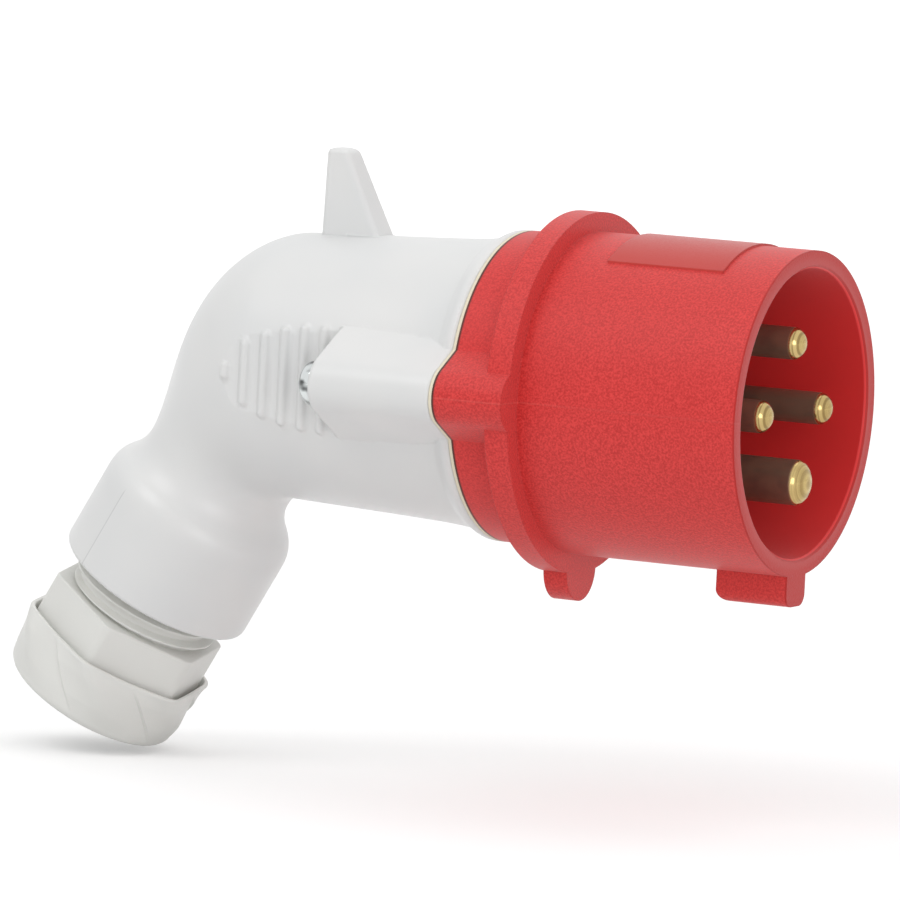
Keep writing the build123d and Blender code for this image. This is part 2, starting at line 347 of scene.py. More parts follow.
# Places worked out from the sizes above
corner_x = elbow_start_x
corner_z = -barrel_rear_r - elbow_corner_r
outlet = np.array([-cos(outlet_turn), 0, -sin(outlet_turn)])
across = np.array([sin(outlet_turn), 0, -cos(outlet_turn)])
outlet_origin = np.array([outlet_x, 0, 0])
corner = np.array([corner_x, 0, corner_z]) - outlet_origin
neck_start_at = float(corner @ outlet)
neck_start_r = float(corner @ across) - elbow_corner_r + neck_offset

# Smooth outer profiles as (position, radius, slope) knots
barrel_profile = [
    (elbow_start_x, barrel_rear_r, 0.045),
    (-24.0, 22.05, 0.05),
    (-20.3, barrel_front_r, 0.09),
    (-15.9, 22.95, 0.26),
    (-13.2, lip_r, 0.0),
    (handle_front_x, lip_r, 0.0),
]
outlet_profile = [
    (neck_start_at, neck_start_r, -0.08),
    (24.9, 14.3, 0.95),
    (neck_offset_end, bell_r, 0.0),
    (bell_end, bell_r, 0.0),
]


def round_max(a, b, r):
    """Overlap of two fields, with its edge rounded."""
    return np.minimum(np.maximum(a, b), -r) + np.hypot(np.maximum(a + r, 0), np.maximum(b + r, 0))


def profile_radius(position, knots):
    """Radius at a position, on cubic pieces through the knots."""
    at, value, slope = (np.array(column) for column in zip(*knots))
    i = np.clip(np.searchsorted(at, position) - 1, 0, len(at) - 2)
    length = at[i + 1] - at[i]
    t = np.clip((position - at[i]) / length, 0, 1)
    rise = value[i + 1] - value[i]
    start = slope[i] * length - rise
    end = slope[i + 1] * length - rise
    return value[i] + t * rise + t * (1 - t) * ((1 - t) * start - t * end)


def outlet_coordinates(x, z):
    """Distance along the outlet axis, and across it in the plug's middle plane."""
    along = (x - outlet_x) * outlet[0] + z * outlet[2]
    sideways = (x - outlet_x) * across[0] + z * across[2]
    return along, sideways


def elbow_radius(share):
    """Radius of the elbow's round section, from the barrel's end at 0 to the neck at 1."""
    swing = (1 + np.cos(pi * share**elbow_fullness)) / 2
    blend = elbow_straightness * (1 - share) + (1 - elbow_straightness) * swing
    return neck_start_r + (barrel_rear_r - neck_start_r) * blend


def tube_field(x, y, z):
    """Outer skin of the barrel, the elbow and the outlet."""
    along, sideways = outlet_coordinates(x, z)
    turn = np.arctan2(corner_x - x, z - corner_z)
    barrel = np.hypot(y, z) - profile_radius(x, barrel_profile)
    share = np.clip((along - neck_start_at) / (neck_offset_end - neck_start_at), 0, 1)
    offset = neck_offset * (1 + np.cos(pi * share)) / 2
    neck = np.hypot(sideways + offset, y) - profile_radius(along, outlet_profile)
    r = elbow_radius(np.clip(turn / outlet_turn, 0, 1))
    reach = np.hypot(x - corner_x, z - corner_z)
    elbow = np.hypot(reach - elbow_corner_r - r, y) - r
    bend = np.where(turn < outlet_turn, elbow, round_max(neck, along - bell_end, rim_rounding))
    return np.where(turn <= 0, round_max(barrel, x - handle_front_x, edge_rounding), bend)


def ear_field(x, y, z):
    """Both screw ears: two slopes that meet in a round nose."""
    gap = screw_y - ear_root_y
    lean = atan2(gap, ear_root_half_height) + asin(ear_nose_r / hypot(gap, ear_root_half_height))
    beyond = np.abs(y) - screw_y
    slope = beyond * cos(lean) + np.abs(z) * sin(lean)
    nose = np.hypot(beyond, z)
    house = np.where(np.arctan2(np.abs(z), beyond) < lean, nose, slope) - ear_nose_r
    return round_max(house, np.maximum(ear_end_x - x, x - handle_front_x), edge_rounding)


def fin_field(x, y, z):
    """Thumb fin: upright behind, raked in front, thinner towards the top."""
    height = fin_top_z - fin_foot_z
    rake = atan2(fin_foot_front_x - fin_top_front_x, height)
    front = (x - fin_foot_front_x) * cos(rake) + (z - fin_foot_z) * sin(rake)
    draft = atan2((fin_foot_width - fin_top_width) / 2, height)
    flank = (np.abs(y) - fin_foot_width / 2) * cos(draft) + (z - fin_foot_z) * sin(draft)
    front_and_rear = round_max(front, fin_rear_x - x, fin_front_rounding)
    side_view = round_max(front_and_rear, z - fin_top_z, fin_rounding)
    return np.maximum(round_max(side_view, flank, fin_rounding), fin_root_z - z)


def rib_field(x, y, z):
    """Round-topped upright ribs on both flanks, shorter towards the elbow."""
    nearest = np.full(np.shape(x), np.inf)
    for i in range(rib_count):
        share = i * rib_pitch / rib_field_length
        half = rib_longest * (1 - share**2) ** 0.5 / 2 - rib_r
        beyond = np.maximum(np.abs(z) - half, 0)
        above = np.maximum(np.abs(y) - rib_axis_y, 0)
        distance = np.sqrt((x - rib_first_x + i * rib_pitch) ** 2 + above**2 + beyond**2)
        nearest = np.minimum(nearest, distance - rib_r)
    return np.maximum(nearest, rib_root_y - np.abs(y))


def handle_field(x, y, z):
    """The whole handle moulding, negative inside its material."""
    flank = np.maximum(grip_flat_y - np.abs(y), np.abs(z) - grip_half_height)
    flat = np.maximum(flank, np.maximum(x - ear_end_x, grip_rear_x - x))
    body = np.minimum(tube_field(x, y, z), fin_field(x, y, z))
    body = np.minimum(body, ear_field(x, y, z))
    body = -round_max(-np.maximum(body, -flat), -rib_field(x, y, z), rib_foot_r)
    radius = np.hypot(y, z)
    spigot_ends = np.maximum(x - spigot_front_x, handle_front_x - spigot_root - x)
    body = np.minimum(body, np.maximum(radius - spigot_r, spigot_ends))
    along, sideways = outlet_coordinates(x, z)
    cable_radius = np.hypot(sideways, y)
    screw_radius = np.hypot(np.abs(y) - screw_y, z)
    hollows = [
        np.maximum(radius - barrel_bore_r, elbow_start_x - x),
        np.maximum(cable_radius - throat_r, np.maximum(throat_from - along, along - throat_to)),
        np.maximum(cable_radius - neck_bore_r, throat_from - along),
        np.maximum(cable_radius - bell_bore_r, seat_at - along),
        np.maximum(screw_radius - screw_hole_r, x - handle_front_x - screw_hole_margin),
    ]
    for hollow in hollows:
        body = np.maximum(body, -hollow)
    return body


def field_slope(field, points):
    """Gradient of a field at some points."""
    slope = np.empty_like(points)
    for axis in range(3):
        ahead, behind = points.copy(), points.copy()
        ahead[:, axis] += slope_step
        behind[:, axis] -= slope_step
        slope[:, axis] = (field(*ahead.T) - field(*behind.T)) / (2 * slope_step)
    return slope


def field_surface(field, low, high, cell):
    """Points, quads and normals of the surface where a field is zero, drawn closely onto it."""
    axes = [np.arange(a, b + cell, cell) for a, b in zip(low, high)]
    values = np.empty([len(axis) for axis in axes], np.float32)
    for i, x in enumerate(axes[0]):
        y, z = np.meshgrid(axes[1], axes[2], indexing="ij")
        values[i] = field(np.full(y.shape, x), y, z)
    grid = openvdb.FloatGrid()
    grid.copyFromArray(values)
    grid.transform = openvdb.createLinearTransform(voxelSize=cell)
    points, quads = grid.convertToQuads()
    points = points.astype(float) + np.array(low)
    for _ in range(surface_passes):
        slope = field_slope(field, points)
        squared = np.maximum((slope**2).sum(axis=1), least_squared_slope)
        move = (field(*points.T) / squared)[:, None] * slope
        points -= np.clip(move, -cell / 2, cell / 2)
    normals = field_slope(field, points)
    normals /= np.maximum(np.linalg.norm(normals, axis=1), shortest_normal)[:, None]
    corners = points[quads]
    face_normals = np.cross(corners[:, 2] - corners[:, 0], corners[:, 3] - corners[:, 1])
    if (face_normals * normals[quads[:, 0]]).sum() < 0:
        quads = quads[:, ::-1]
    return points, quads, normals


def new_object(name, points, faces):
    """New mesh object from points in millimetres."""
    mesh = bpy.data.meshes.new(name)
    mesh.from_pydata((np.asarray(points) * MM).tolist(), [], faces)
    mesh.update()
    made = bpy.data.objects.new(name, mesh)
    bpy.context.scene.collection.objects.link(made)
    return made


def dress(made, body, slot, paint, *replaced):
    """Puts a new piece in place of CAD nodes, on their body and with its material."""
    made.data.materials.clear()
    made.data.materials.append(paint)
    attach(made, body)
    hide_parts(*replaced)


def handle():
    """Handle moulding, with its normals taken from the field."""
    points, quads, normals = field_surface(handle_field, handle_low, handle_high, handle_cell)
    made = new_object("handle_moulding", points, quads.tolist())
    made.data.shade_smooth()
    made.data.normals_split_custom_set_from_vertices(normals.tolist())
    return made


def rings_object(name, rings, closed):
    """Surface through rings of equally many points: closed back to the first ring, or capped at both ends."""
    rings = [np.asarray(ring) for ring in rings]
    steps = len(rings[0])
    faces = []
    pairs = len(rings) if closed else len(rings) - 1
    for i in range(pairs):
        here = i * steps
        there = (i + 1) % len(rings) * steps
        for j in range(steps):
            k = (j + 1) % steps
            faces.append((here + j, here + k, there + k, there + j))
    if not closed:
        faces.append(list(range(steps - 1, -1, -1)))
        faces.append([(len(rings) - 1) * steps + j for j in range(steps)])
    return new_object(name, np.concatenate(rings), faces)


def hex_radius(angle, flat_r, corner_r, sharpness):
    """Radius of a hexagon at some angles, with its corners eased to a circle."""
    turn = (angle - hex_corner_turn) % (pi / 3) - pi / 6
    return -np.logaddexp(-sharpness * flat_r / np.cos(turn), -sharpness * corner_r) / sharpness


def thread_radius(along, angle):
    """Radius of the gland's right-hand thread: narrow crests that fade out before the hexagon."""
    phase = ((along - thread_shift) / thread_pitch - angle / (2 * pi)) % 1.0
    from_crest = np.abs(phase - 0.5) * thread_pitch
    crest = np.clip((thread_flank_end - from_crest) / (thread_flank_end - thread_crest_half), 0, 1)
    fade = np.clip((hex_from - thread_runout - along) / thread_fade, 0, 1)
    return thread_crest_r - thread_depth * (1 - crest * fade)


def petal_radius(share, r, step):
    """Radius round the petals: each swells outwards and then steps back sharply."""
    rise = (share / (1 - crease_share)) ** petal_swell
    fall = (1 - share) / crease_share
    return r + step * np.minimum(np.minimum(rise, 1), fall)


def gland():
    """Threaded tube, hexagon and cup, as rings along the cable axis and back through the bore."""
    column = np.arange(gland_steps) / gland_steps
    petal_share = column * petal_count % 1.0
    base = 2 * pi * column + petal_start
    rows = []

    def row(along, radius, turn=0.0):
        rows.append((np.broadcast_to(along, base.shape), np.broadcast_to(radius, base.shape), base + turn))

    def edge(steps, along, radius, turn=0.0):
        for further, wider in steps:
            row(along + further, radius + wider, turn)

    root_r = thread_crest_r - thread_depth
    row(gland_top, gland_bore_r)
    row(gland_top, root_r - tube_end_chamfer)
    for along in np.arange(gland_top + thread_from, hex_from - thread_stop, thread_row):
        row(along, thread_radius(along, base))
    edge(hex_foot, hex_from, root_r)
    flats = hex_radius(base, hex_flats / 2, hex_corner_cut_r, hex_sharpness)
    edge(hex_edge, hex_from, flats)
    trough_end = cup_from + cup_depth
    for along in np.linspace(hex_from + flat_from, trough_end - flat_stop, flat_rows):
        row(along, flats)
    mouth = hex_radius(base, cup_mouth_flat_r, cup_mouth_r, cup_mouth_sharpness)
    wall_in = np.maximum(mouth - cup_rim_width, flats + trough_wall_gap)
    for further, wider in trough_foot:
        row(trough_end + further, np.minimum(flats + wider, wall_in))
    trough_inner = np.minimum(flats + trough_least_width, wall_in)
    row(trough_end, np.maximum(wall_in - trough_corner, trough_inner))
    row(trough_end - trough_wall_from, wall_in)
    rim = cup_from + cup_rim_inset - cup_rim_wave * np.cos(2 * pi * (petal_share - cup_rim_wave_peak))
    edge(rim_inner_edge, rim, wall_in)
    edge(rim_outer_edge, rim, mouth)
    petals_from = rim + cup_rim_edge
    petals_to = gland_end - cup_end_rounding
    for i in range(1, petal_rows + 1):
        t = i / petal_rows
        step = petal_step * min(1, petal_rise * t, petal_end_share + petal_fall * (1 - t))
        r = mouth + (cup_end_r - mouth) * t
        row(petals_from + (petals_to - petals_from) * t, petal_radius(petal_share, r, step), -petal_twist * t)
    last = petal_radius(petal_share, cup_end_r, petal_step * petal_end_share)
    for i in range(1, cup_end_rows + 1):
        turn = pi / 2 * i / cup_end_rows
        inset = cup_end_rounding * (1 - cos(turn))
        row(gland_end - cup_end_rounding * (1 - sin(turn)), last - inset, -petal_twist)
    edge(bore_mouth, gland_end, gland_bore_r, -petal_twist)
    bore_end = gland_end - bore_from
    for i in range(bore_rows):
        t = i / bore_rows
        row(bore_end + (gland_top - bore_end) * t, gland_bore_r, -petal_twist * (1 - t))
    rings = []
    for along, radius, angle in rows:
        sideways = (radius * np.cos(angle))[:, None] * across
        flank = (radius * np.sin(angle))[:, None] * np.array([0, -1, 0])
        rings.append(outlet_origin + sideways + flank + along[:, None] * outlet)
    made = rings_object("gland_moulding", rings, closed=True)
    made.data.shade_smooth()
    made.data.set_sharp_from_angle(angle=gland_sharp_turn)
    return made


def turned(name, profile, y, z, steps):
    """Solid of revolution along X about an axis through (y, z), from (x, radius) points."""
    angle = 2 * pi * np.arange(steps) / steps
    rings = []
    for x, r in profile:
        rings.append(np.stack([np.full(steps, x), y + r * np.cos(angle), z + r * np.sin(angle)], axis=1))
    return rings_object(name, rings, closed=False)


def cut(made, cutter):
    """Takes one closed mesh out of another."""
    step = made.modifiers.new("cut", "BOOLEAN")
    step.operation = "DIFFERENCE"
    step.solver = "EXACT"
    step.object = cutter
    depsgraph = bpy.context.evaluated_depsgraph_get()
    mesh = bpy.data.meshes.new_from_object(made.evaluated_get(depsgraph))
    made.modifiers.remove(step)
    made.data = mesh
    bpy.data.objects.remove(cutter)


def contact_pin(name):
    """Turned pin with a domed tip, a root collar and a drilled terminal."""
    degrees, sizes = pins[name]
    y = pin_circle_r * cos(radians(degrees))
    z = pin_circle_r * sin(radians(degrees))
    r = sizes["shank_r"]
    tip_x = sizes["tip_x"]
    terminal_r = sizes["terminal_r"]
    root_r = r + pin_root_step
    profile = []
    for i in range(1, tip_rows + 1):
        turn = pi / 2 * (1 - i / tip_rows)
        ripple = sizes["tip_ripple"] * (1 - cos(tip_ripples_per_turn * turn)) / 2
        profile.append((tip_x - tip_length * (1 - sin(turn)) - ripple, r * cos(turn)))
    for x in np.linspace(tip_x - tip_length - shank_gap, shank_gap, shank_rows):
        profile.append((x, r))
    profile += [
        (pin_root_foot, r),
        (0.0, root_r - pin_root_edge),
        (-pin_root_edge, root_r),
        (carrier_rear_x, root_r),
        (carrier_rear_x, terminal_r - terminal_front_edge),
        (carrier_rear_x - terminal_front_edge, terminal_r),
        (terminal_end_x + terminal_rear_edge, terminal_r),
        (terminal_end_x, terminal_r - terminal_rear_edge),
        (terminal_end_x, wire_hole_r + wire_hole_edge),
        (terminal_end_x + wire_hole_edge, wire_hole_r),
        (wire_hole_end_x, wire_hole_r),
        (wire_hole_end_x + drill_point, drill_point_r),
    ]
    made = turned(name + "_turned", profile, y, z, pin_steps)
    reach = terminal_r + clamp_hole_margin
    hole = turned("clamp_hole", [(0, clamp_hole_r), (reach, clamp_hole_r)], 0, 0, clamp_hole_steps)
    outwards = Vector((0, y, z)).to_track_quat("X", "Z").to_matrix().to_4x4()
    hole.matrix_world = Matrix.Translation(Vector((clamp_x, y, z)) * MM) @ outwards
    bpy.context.view_layer.update()
    cut(made, hole)
    made.data.shade_smooth()
    made.data.set_sharp_from_angle(angle=pin_sharp_turn)
    return made


def housing_screw(name, y):
    """Pan-head screw with a domed crown and a tapered cross recess in it."""
    crown_depth = ear_end_x - screw_head_x - head_skirt
    profile = [(screw_head_x, crown_flat_r)]
    for i in range(1, crown_rows + 1):
        turn = pi / 2 * i / crown_rows
        fall = crown_depth * (1 - cos(turn)) ** crown_depth_power
        profile.append((screw_head_x + fall, screw_head_r * sin(turn) ** crown_width_power))
    profile += [
        (ear_end_x - head_edge_from, screw_head_r),
        (ear_end_x, screw_head_r - head_edge),
        (ear_end_x, screw_r),
        (screw_end_x - screw_point, screw_r),
        (screw_end_x, screw_r - screw_point),
    ]
    made = turned(name + "_turned", profile, y, 0, screw_steps)
    mouth = (screw_head_x - recess_above, recess_mouth_share)
    foot = (screw_head_x + recess_depth, recess_foot_share)
    for upright in (False, True):
        rings = []
        for x, share in (mouth, foot):
            length = recess_half_length * share
            width = recess_half_width * (1 + share) / 2
            wide_y, wide_z = (width, length) if upright else (length, width)
            corners = [(-1, -1), (1, -1), (1, 1), (-1, 1)]
            rings.append([(x, y + recess_nudge + a * wide_y, b * wide_z) for a, b in corners])
        cut(made, rings_object("recess", rings, closed=False))
    made.data.shade_smooth()
    made.data.set_sharp_from_angle(angle=screw_sharp_turn)
    return made


def linear(colour):
    """Scene-linear colour of an sRGB colour with parts from 0 to 255."""
    parts = []
    for part in colour:
        share = part / 255
        parts.append(share / 12.92 if share <= 0.04045 else ((share + 0.055) / 1.055) ** 2.4)
    return (*parts, 1.0)


class Paint:
    """A material being made: a principled shader and helpers that add nodes to it."""

    def __init__(self, name, **constants):
        self.material = bpy.data.materials.new(name)
        self.material.use_nodes = True
        self.tree = self.material.node_tree
        self.shader = self.tree.nodes["Principled BSDF"]
        for key, value in constants.items():
            socket = key.replace("_", " ").title().replace("Ior", "IOR")
            self.shader.inputs[socket].default_value = value
        self.place = self.node("ShaderNodeTexCoord").outputs["Object"]
        split = self.node("ShaderNodeSeparateXYZ", Vector=self.place)
        self.x, self.y, self.z = split.outputs

    def node(self, kind, settings=None, **inputs):
        made = self.tree.nodes.new(kind)
        for key, value in (settings or {}).items():
            setattr(made, key, value)
        for key, value in inputs.items():
            self.feed(made.inputs[key.replace("_", " ")], value)
        return made

    def feed(self, socket, value):
        if isinstance(value, bpy.types.NodeSocket):
            self.tree.links.new(value, socket)
        else:
            socket.default_value = value

    def math(self, operation, *values):
        made = self.node("ShaderNodeMath", {"operation": operation})
        for socket, value in zip(made.inputs, values):
            self.feed(socket, value)
        return made.outputs[0]

    def product(self, first, *others):
        for other in others:
            first = self.math("MULTIPLY", first, other)
        return first

    def noise(self, scale, detail, place=None, roughness=0.5):
        made = self.node("ShaderNodeTexNoise", Vector=place or self.place, Scale=scale, Detail=detail)
        made.inputs["Roughness"].default_value = roughness
        return made.outputs[0]

    def towards(self, direction):
        """Distance of a place along a direction, from the origin."""
        made = self.node("ShaderNodeVectorMath", {"operation": "DOT_PRODUCT"})
        self.feed(made.inputs[0], self.place)
        self.feed(made.inputs[1], tuple(direction))
        return made.outputs["Value"]

    def ramp(self, value, low, high, at_low=0.0, at_high=1.0):
        """Value mapped smoothly from one span onto another."""
        made = self.node("ShaderNodeMapRange", {"interpolation_type": "SMOOTHSTEP"}, Value=value)
        for key, number in zip(("From Min", "From Max", "To Min", "To Max"), (low, high, at_low, at_high)):
            made.inputs[key].default_value = number
        return made.outputs[0]

    def spread(self, noise, at_low=0.0, at_high=1.0):
        """A noise's usual span mapped smoothly onto another."""
        return self.ramp(noise, noise_low, noise_high, at_low, at_high)

    def mix(self, share, first, second):
        made = self.node("ShaderNodeMix", {"data_type": "RGBA"})
        factor = made.inputs["Factor"]
        colours = [socket for socket in made.inputs if socket.type == "RGBA"]
        for socket, value in zip((factor, *colours), (share, first, second)):
            self.feed(socket, value)
        return next(socket for socket in made.outputs if socket.type == "RGBA")

    def bump(self, height, strength, distance, normal=None):
        made = self.node("ShaderNodeBump", Height=height, Strength=strength, Distance=distance)
        if normal is not None:
            self.feed(made.inputs["Normal"], normal)
        return made.outputs[0]

    def round_edges(self, radius):
        return self.node("ShaderNodeBevel", {"samples": 6}, Radius=radius).outputs[0]

    def set(self, **links):
        for key, value in links.items():
            self.feed(self.shader.inputs[key.replace("_", " ")], value)
        return self.material


def red_shell():
    """Red moulding with a fine grain outside, a smooth bore and a smooth bare pad; painted shade darkens the
    rim face and the seam by the gasket, and a painted highlight lightens the parting line.
    """
    paint = Paint("red_moulding", specular_ior_level=0.3, sheen_weight=0.12)
    squares = paint.math("MULTIPLY_ADD", paint.y, paint.y, paint.product(paint.z, paint.z))
    radius = paint.math("SQRT", squares)
    outside = paint.ramp(radius, bore_skin_r * MM, grain_skin_r * MM)
    pad = paint.product(
        paint.math("GREATER_THAN", radius, pad_skin_r * MM),
        paint.math("GREATER_THAN", paint.x, pad_from_x * MM),
        paint.math("LESS_THAN", paint.x, pad_to_x * MM),
        paint.math("GREATER_THAN", paint.z, pad_from_z * MM),
    )
    rough_skin = paint.product(outside, paint.math("SUBTRACT", 1.0, pad))
    grain = paint.noise(scale=3000, detail=2.0, roughness=0.6)
    grained = paint.mix(paint.spread(grain), linear(red_grain_dark), linear(red_grain_light))
    skin = paint.mix(rough_skin, linear(red_smooth), grained)
    # Painted shade: the rim face is drawn darker than the rest of the moulding.
    rim_face = paint.math("GREATER_THAN", paint.x, rim_face_x * MM)
    rim_shaded = paint.mix(rim_face, skin, linear(red_rim_shade))
    padded = paint.mix(pad, rim_shaded, linear(red_pad))
    # Painted highlight: a pale line along the parting line, beside its bumped ridge, fading towards the
    # front.
    from_parting = paint.math("ABSOLUTE", paint.z)
    parting = paint.ramp(from_parting, parting_half * MM, parting_end * MM, at_low=1.0, at_high=0.0)
    highlight_fading = paint.ramp(paint.x, 0.0, parting_highlight_fade_x * MM, at_low=0.22, at_high=0.06)
    parting_highlighted = paint.mix(paint.product(parting, rough_skin, highlight_fading), padded, linear(red_parting_highlight))
    # Painted shade: a dark band at the rear edge, in the gap by the gasket.
    seam_shade_mask = paint.ramp(paint.x, seam_x * MM, seam_end_x * MM, at_low=1.0, at_high=0.0)
    seam_shaded = paint.mix(seam_shade_mask, parting_highlighted, linear(red_seam_shade))
    cloud = paint.noise(scale=60, detail=2.0)
    clouded = paint.mix(paint.spread(cloud, at_high=0.12), seam_shaded, linear(red_cloud))
    skin_roughness = paint.ramp(rough_skin, 0.0, 1.0, at_low=0.34, at_high=0.46)
    roughness = paint.math("ADD", skin_roughness, paint.spread(grain, at_low=-0.04, at_high=0.06))
    ridge_height = 0.8
    relief = paint.product(paint.math("MULTIPLY_ADD", parting, ridge_height, grain), rough_skin)
    edges = paint.round_edges(radius=0.00028)
    normal = paint.bump(relief, strength=0.55, distance=0.0001, normal=edges)
    return paint.set(Base_Color=clouded, Roughness=roughness, Normal=normal)


def grey_shell():
    """Light grey glossy moulding, with faint clouding and a moulding line on each flank of the bell, drawn
    darker as painted shade.
    """
    paint = Paint("grey_moulding")
    cloud = paint.noise(scale=45, detail=2.0)
    clouded = paint.mix(paint.spread(cloud), linear(grey_light), linear(grey_dark))
    along = paint.math("SUBTRACT", paint.towards(outlet), float(outlet_origin @ outlet) * MM)
    sideways = paint.math("SUBTRACT", paint.towards(across), float(outlet_origin @ across) * MM)
    sideways_share = paint.math("MULTIPLY", sideways, sin(bell_line_turn))
    flank_share = paint.math("MULTIPLY", paint.math("ABSOLUTE", paint.y), cos(bell_line_turn))
    from_line = paint.math("ABSOLUTE", paint.math("SUBTRACT", sideways_share, flank_share))
    # Painted shade: the moulding line on the bell is drawn darker, in place of the shade in its groove.
    bell_line_shade = paint.ramp(from_line, bell_line_half * MM, bell_line_end * MM, at_low=0.55, at_high=0.0)
    on_bell = paint.ramp(along, bell_line_from * MM, bell_line_full * MM)
    tone = paint.mix(paint.product(bell_line_shade, on_bell), clouded, linear(grey_line_shade))
    roughness = paint.spread(cloud, at_low=0.29, at_high=0.35)
    return paint.set(Base_Color=tone, Roughness=roughness)


def gland_plastic():
    """Warm grey matte moulding."""
    paint = Paint("gland_moulding")
    cloud = paint.noise(scale=60, detail=2.0)
    grain = paint.noise(scale=1800, detail=3.0)
    tone = paint.mix(paint.spread(cloud), linear(gland_light), linear(gland_dark))
    roughness = paint.spread(grain, at_low=0.40, at_high=0.52)
    normal = paint.bump(grain, strength=0.12, distance=0.00006)
    return paint.set(Base_Color=tone, Roughness=roughness, Normal=normal)


def pin_brass():
    """Turned brass: polished tips with soft dark rings painted as reflections, and satin shanks with fine
    rings and a brown tarnish.
    """
    paint = Paint("turned_brass")
    along = paint.node("ShaderNodeCombineXYZ", X=paint.x).outputs[0]
    fine_rings = paint.noise(scale=5200, detail=2.0, place=along)
    reflection_ring_noise = paint.noise(scale=2600, detail=1.0, place=along)
    tarnish = paint.noise(scale=150, detail=3.0)
    on_earth_pin = paint.math("LESS_THAN", paint.z, earth_pin_below_z * MM)
    earth_lead = earth_pin["tip_x"] - phase_pin["tip_x"]
    tip_x = paint.math("MULTIPLY_ADD", on_earth_pin, earth_lead * MM, phase_pin["tip_x"] * MM)
    shank = paint.ramp(paint.math("SUBTRACT", tip_x, paint.x), polish_end * MM, tarnish_from * MM)
    dulled = paint.ramp(tarnish, tarnish_low, tarnish_high, at_high=0.6)
    polished = paint.mix(dulled, linear(brass_light), linear(brass_dark))
    # Painted reflection: soft dark rings on the polished tips.
    reflection_rings = paint.ramp(reflection_ring_noise, reflection_ring_low, reflection_ring_high, at_high=0.6)
    reflection_ringed = paint.mix(reflection_rings, polished, linear(brass_reflection_ring))
    browned = paint.ramp(tarnish, tarnish_low, tarnish_high)
    satin = paint.mix(browned, linear(tarnish_light), linear(tarnish_dark))
    tone = paint.mix(shank, reflection_ringed, satin)
    base_roughness = paint.ramp(shank, 0.0, 1.0, at_low=0.18, at_high=0.36)
    roughness = paint.math("ADD", base_roughness, paint.spread(fine_rings, at_low=-0.04, at_high=0.05))
    metallic = paint.ramp(shank, 0.0, 1.0, at_low=0.95, at_high=0.45)
    normal = paint.bump(fine_rings, strength=0.18, distance=0.00004)
    return paint.set(Base_Color=tone, Roughness=roughness, Metallic=metallic, Normal=normal)


def bright_metal(name, tone, patch_and_reflection_darkness, smoothest, roughest, mark_scale):
    """Plated or plain steel with fine marks and darker patches: painted reflections on plated steel, a faint
    tone change on plain steel.
    """
    paint = Paint(name, metallic=1.0)
    marks = paint.noise(scale=mark_scale, detail=3.0)
    patches_and_reflections = paint.noise(scale=300, detail=2.0)
    patch_and_reflection_tone = linear([patch_and_reflection_darkness * part for part in tone])
    # Darker patches: painted reflections on plated steel, a faint tone change on plain steel.
    colour = paint.mix(paint.ramp(patches_and_reflections, patch_and_reflection_low, patch_and_reflection_high), linear(tone), patch_and_reflection_tone)
    roughness = paint.spread(patches_and_reflections, smoothest, roughest)
    normal = paint.bump(marks, strength=0.06, distance=0.00003)
    return paint.set(Base_Color=colour, Roughness=roughness, Normal=normal)


def matte(name, tones, scale, roughness):
    """Dull plastic or rubber with a fine grain and rounded edges."""
    paint = Paint(name)
    light, dark = tones
    grain = paint.noise(scale=scale, detail=3.0)
    tone = paint.mix(grain, linear(dark), linear(light))
    half_span = 0.05
    grained = paint.spread(grain, roughness - half_span, roughness + half_span)
    normal = paint.bump(grain, strength=0.15, distance=0.00006, normal=paint.round_edges(radius=0.0002))
    return paint.set(Base_Color=tone, Roughness=grained, Normal=normal)


def paint_node(name, material):
    """Gives a CAD node its material."""
    slots = nodes[name].material_slots
    if not slots:
        nodes[name].data.materials.append(material)
    for place in slots:
        place.material = material


def add_lamp(name, place, target, width, energy):
    """Round soft lamp that faces a target."""
    lamp = bpy.data.lights.new(name, "AREA")
    lamp.shape = "DISK"
    lamp.size = width
    lamp.energy = energy
    made = bpy.data.objects.new(name, lamp)
    made.location = place
    made.rotation_euler = (Vector(target) - Vector(place)).to_track_quat("-Z", "Y").to_euler()
    bpy.context.scene.collection.objects.link(made)


def add_camera():
    """Camera at the photograph's viewing angle, worked out from the shroud's rim and the outlet."""
    camera = bpy.data.cameras.new("camera")
    camera.lens = camera_lens
    camera.sensor_width = camera_sensor
    camera.clip_end = camera_reach
    made = bpy.data.objects.new("camera", camera)
    right = Vector(camera_right)
    up = Vector(camera_up)
    turn = Matrix((right, up, right.cross(up))).transposed()
    made.matrix_world = Matrix.Translation(Vector(camera_place)) @ turn.to_4x4()
    bpy.context.scene.collection.objects.link(made)
    bpy.context.scene.camera = made


def background_ray(tree):
    """One for rays that show the background: from the camera, in gloss or through glass."""
    rays = tree.nodes.new("ShaderNodeLightPath")
    shown = rays.outputs["Is Camera Ray"]
    for kind in ("Is Glossy Ray", "Is Transmission Ray"):
        either = tree.nodes.new("ShaderNodeMath")
        either.operation = "MAXIMUM"
        tree.links.new(shown, either.inputs[0])
        tree.links.new(rays.outputs[kind], either.inputs[1])
        shown = either.outputs[0]
    return shown


